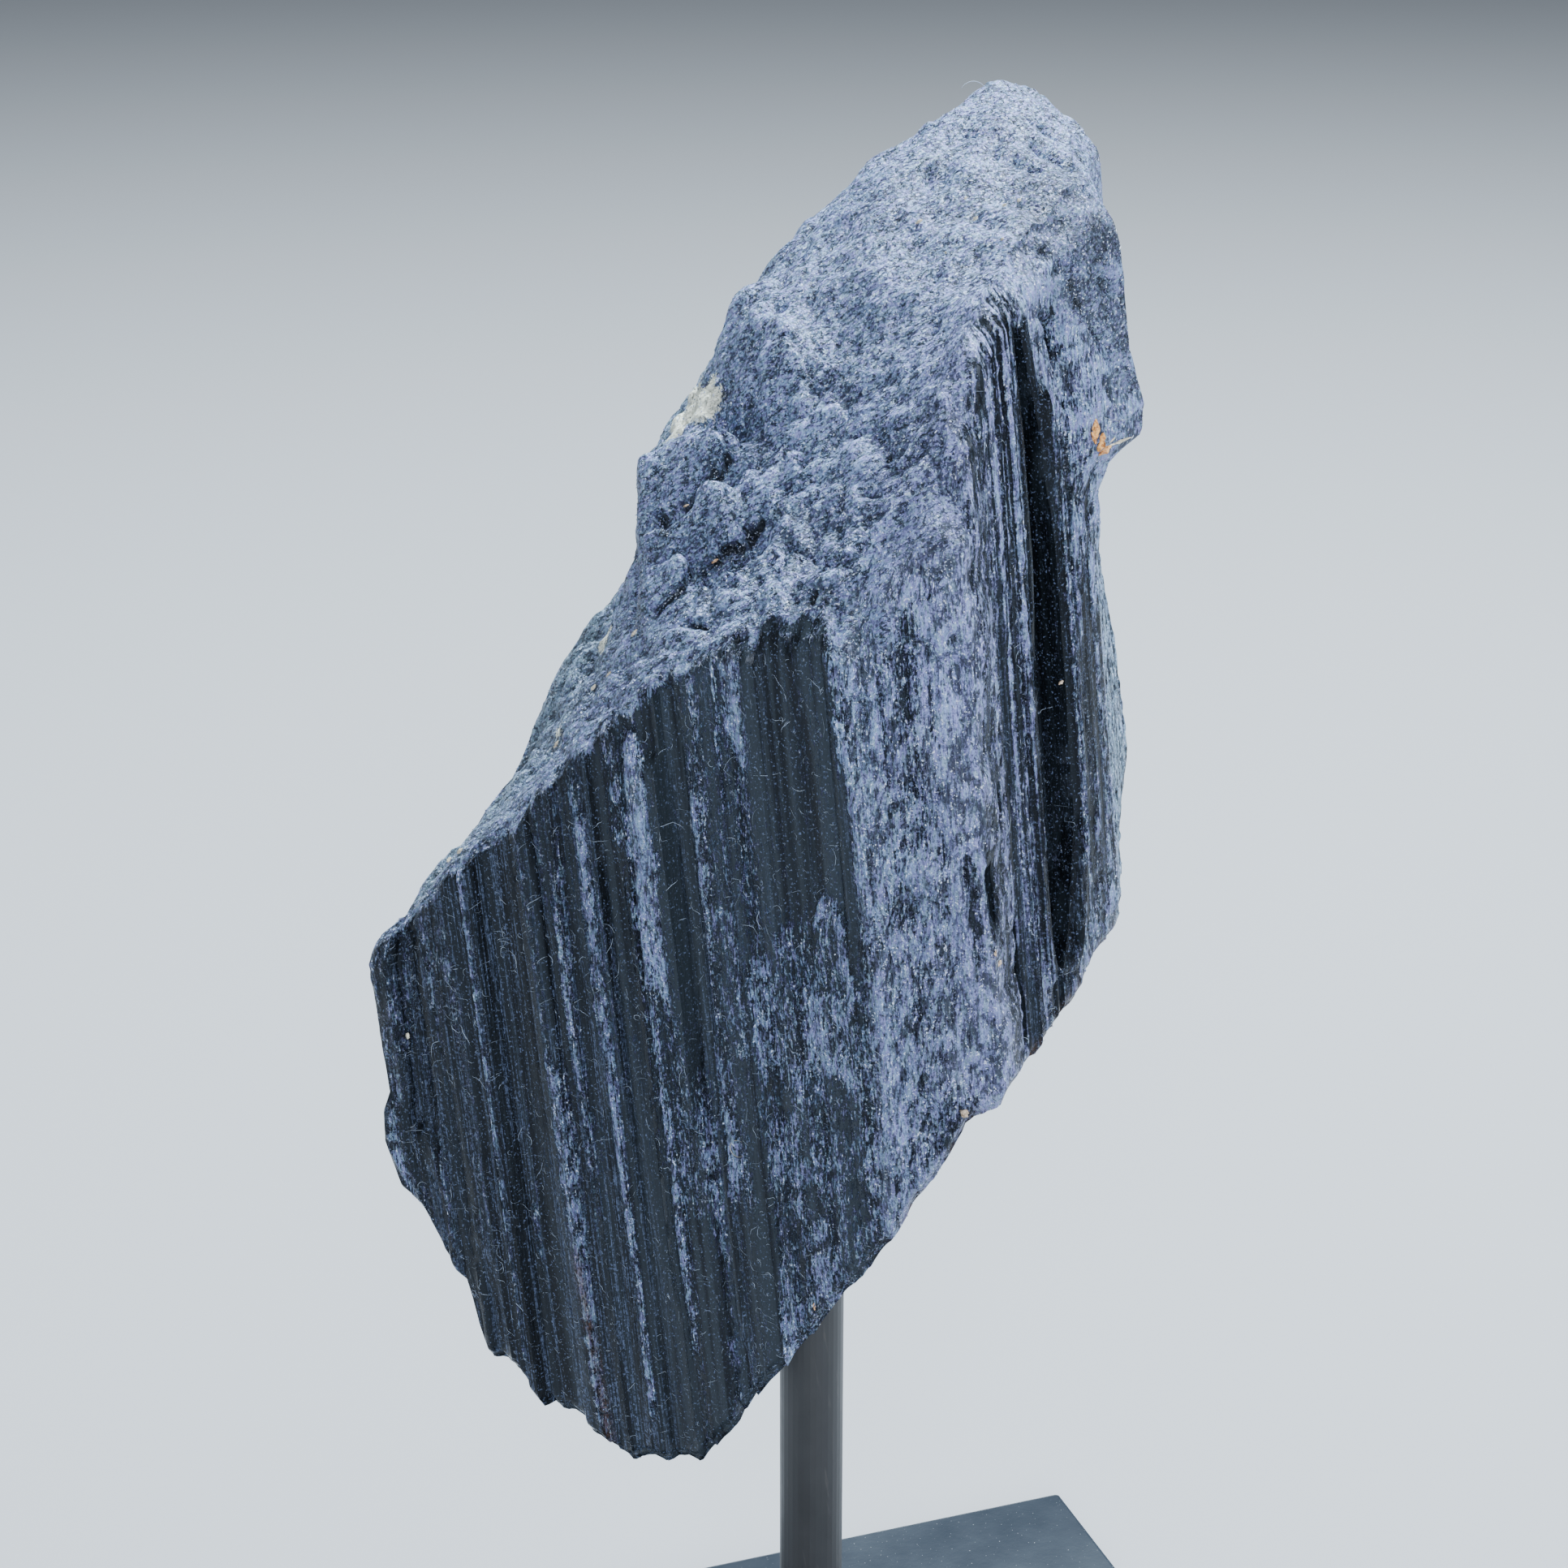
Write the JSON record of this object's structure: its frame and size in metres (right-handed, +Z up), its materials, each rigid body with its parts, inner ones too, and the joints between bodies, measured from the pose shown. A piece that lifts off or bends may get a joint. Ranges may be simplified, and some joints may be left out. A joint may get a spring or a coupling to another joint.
{
  "type": "mineral specimen on stand",
  "caption": "Striated black tourmaline crystal, broken aslant at both ends, held up by a round steel post that stands in a square steel base plate.",
  "frame": {"origin": "middle of the base plate's underside", "axes": "+Z up along the post, X and Y along the plate's edges"},
  "size_m": [0.1, 0.1, 0.1802],
  "materials": {
    "black_tourmaline": "glossy dark crystal faces with rough grey-blue granular ridges and breaks",
    "dark_painted_rod": "satin brownish-black paint",
    "black_painted_plate": "satin black powder coat"
  },
  "bodies": {
    "root": {"tourmaline": "black_tourmaline", "post": "dark_painted_rod", "base_plate": "black_painted_plate"}
  },
  "joints": []
}
